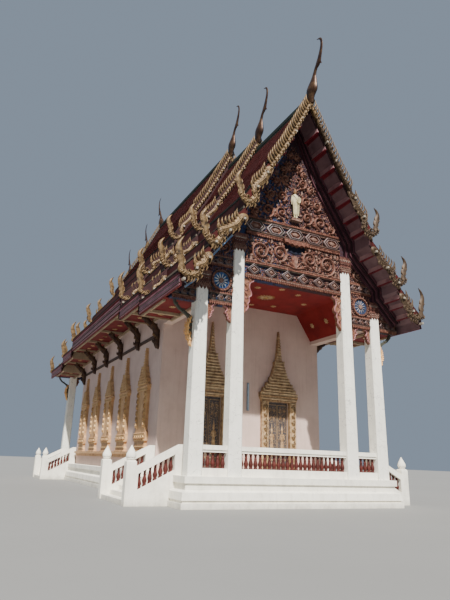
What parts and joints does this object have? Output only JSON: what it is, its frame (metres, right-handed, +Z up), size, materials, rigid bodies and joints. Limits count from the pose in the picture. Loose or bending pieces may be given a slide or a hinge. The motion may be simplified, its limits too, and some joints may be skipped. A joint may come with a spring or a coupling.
{
  "type": "ordination hall",
  "caption": "Thai Buddhist ordination hall: raised terrace with side stairs, columned porches at both ends, walled hall and a steep tiered roof with carved gables.",
  "frame": {"origin": "centre of the terrace's underside, on the ground", "axes": "+Z up, the pictured front gable faces -Y, +X to the right of someone facing the front"},
  "size_m": [12.18, 28.009, 20.5476],
  "materials": {
    "white_plaster": "limewashed plaster, slightly weathered",
    "column_plaster": "smooth white painted plaster",
    "wall_plaster": "matt cream painted plaster",
    "roof_tiles": "dark maroon fired tiles",
    "carved_boards": "carved, weathered gilding",
    "carved_pediment": "carved relief on a blue ground",
    "door_leaves": "dark lacquer with gilt figures",
    "door_surrounds": "modelled stucco, dull gilt",
    "window_surrounds": "modelled stucco, ochre and gilt",
    "eave_brackets": "dark carved timber",
    "ceiling": "deep red with dull gold stars"
  },
  "bodies": {
    "hall": {"terrace": "white_plaster", "stair_front_left": "white_plaster", "stair_front_right": "white_plaster", "stair_rear_left": "white_plaster", "stair_rear_right": "white_plaster", "column_front_outer_left": "column_plaster", "column_front_inner_left": "column_plaster", "column_front_outer_right": "column_plaster", "column_front_inner_right": "column_plaster", "column_rear_outer_left": "column_plaster", "column_rear_inner_left": "column_plaster", "column_rear_outer_right": "column_plaster", "column_rear_inner_right": "column_plaster", "railing_front_middle": "white_plaster", "railing_front_left": "white_plaster", "railing_front_right": "white_plaster", "railing_rear_middle": "white_plaster", "railing_rear_left": "white_plaster", "railing_rear_right": "white_plaster", "front_wall_middle": "wall_plaster", "front_wall_left": "wall_plaster", "front_wall_right": "wall_plaster", "front_wall_over_doors": "wall_plaster", "rear_wall": "wall_plaster", "side_wall_left": "wall_plaster", "side_wall_right": "wall_plaster", "ceiling": "ceiling", "porch_ceiling_front_left": "ceiling", "porch_ceiling_front_right": "ceiling", "porch_ceiling_rear_left": "ceiling", "porch_ceiling_rear_right": "ceiling", "front_door_surround_left": "door_surrounds", "front_door_surround_right": "door_surrounds", "rear_door_left": "door_surrounds", "rear_door_right": "door_surrounds", "side_windows_left": "window_surrounds", "side_windows_right": "window_surrounds", "eave_brackets_left": "eave_brackets", "eave_brackets_right": "eave_brackets", "roof_front_low_tier": "roof_tiles", "roof_front_middle_tier": "roof_tiles", "roof_rear_low_tier": "roof_tiles", "roof_rear_middle_tier": "roof_tiles", "roof_main_tier": "roof_tiles", "pediment_front": "carved_pediment", "pediment_rear": "carved_pediment", "gable_board_front_low": "carved_boards", "gable_board_front_middle": "carved_boards", "gable_board_front_main": "carved_boards", "gable_board_rear_low": "carved_boards", "gable_board_rear_middle": "carved_boards", "gable_board_rear_main": "carved_boards"},
    "front_door_left_leaf_left": {"front_door_left_leaf_left": "door_leaves"},
    "front_door_left_leaf_right": {"front_door_left_leaf_right": "door_leaves"},
    "front_door_right_leaf_left": {"front_door_right_leaf_left": "door_leaves"},
    "front_door_right_leaf_right": {"front_door_right_leaf_right": "door_leaves"}
  },
  "joints": [
    {"name": "front_door_left_leaf_left_hinge", "type": "hinge", "parent": "hall", "child": "front_door_left_leaf_left", "pos_m": [-2.242, -7.605, 2.54], "axis": [0, 0, 1], "range_deg": [0, 85]},
    {"name": "front_door_left_leaf_right_hinge", "type": "hinge", "parent": "hall", "child": "front_door_left_leaf_right", "pos_m": [-1.188, -7.605, 2.54], "axis": [0, 0, -1], "range_deg": [0, 85]},
    {"name": "front_door_right_leaf_left_hinge", "type": "hinge", "parent": "hall", "child": "front_door_right_leaf_left", "pos_m": [1.188, -7.605, 2.54], "axis": [0, 0, 1], "range_deg": [0, 85]},
    {"name": "front_door_right_leaf_right_hinge", "type": "hinge", "parent": "hall", "child": "front_door_right_leaf_right", "pos_m": [2.242, -7.605, 2.54], "axis": [0, 0, -1], "range_deg": [0, 85]}
  ]
}
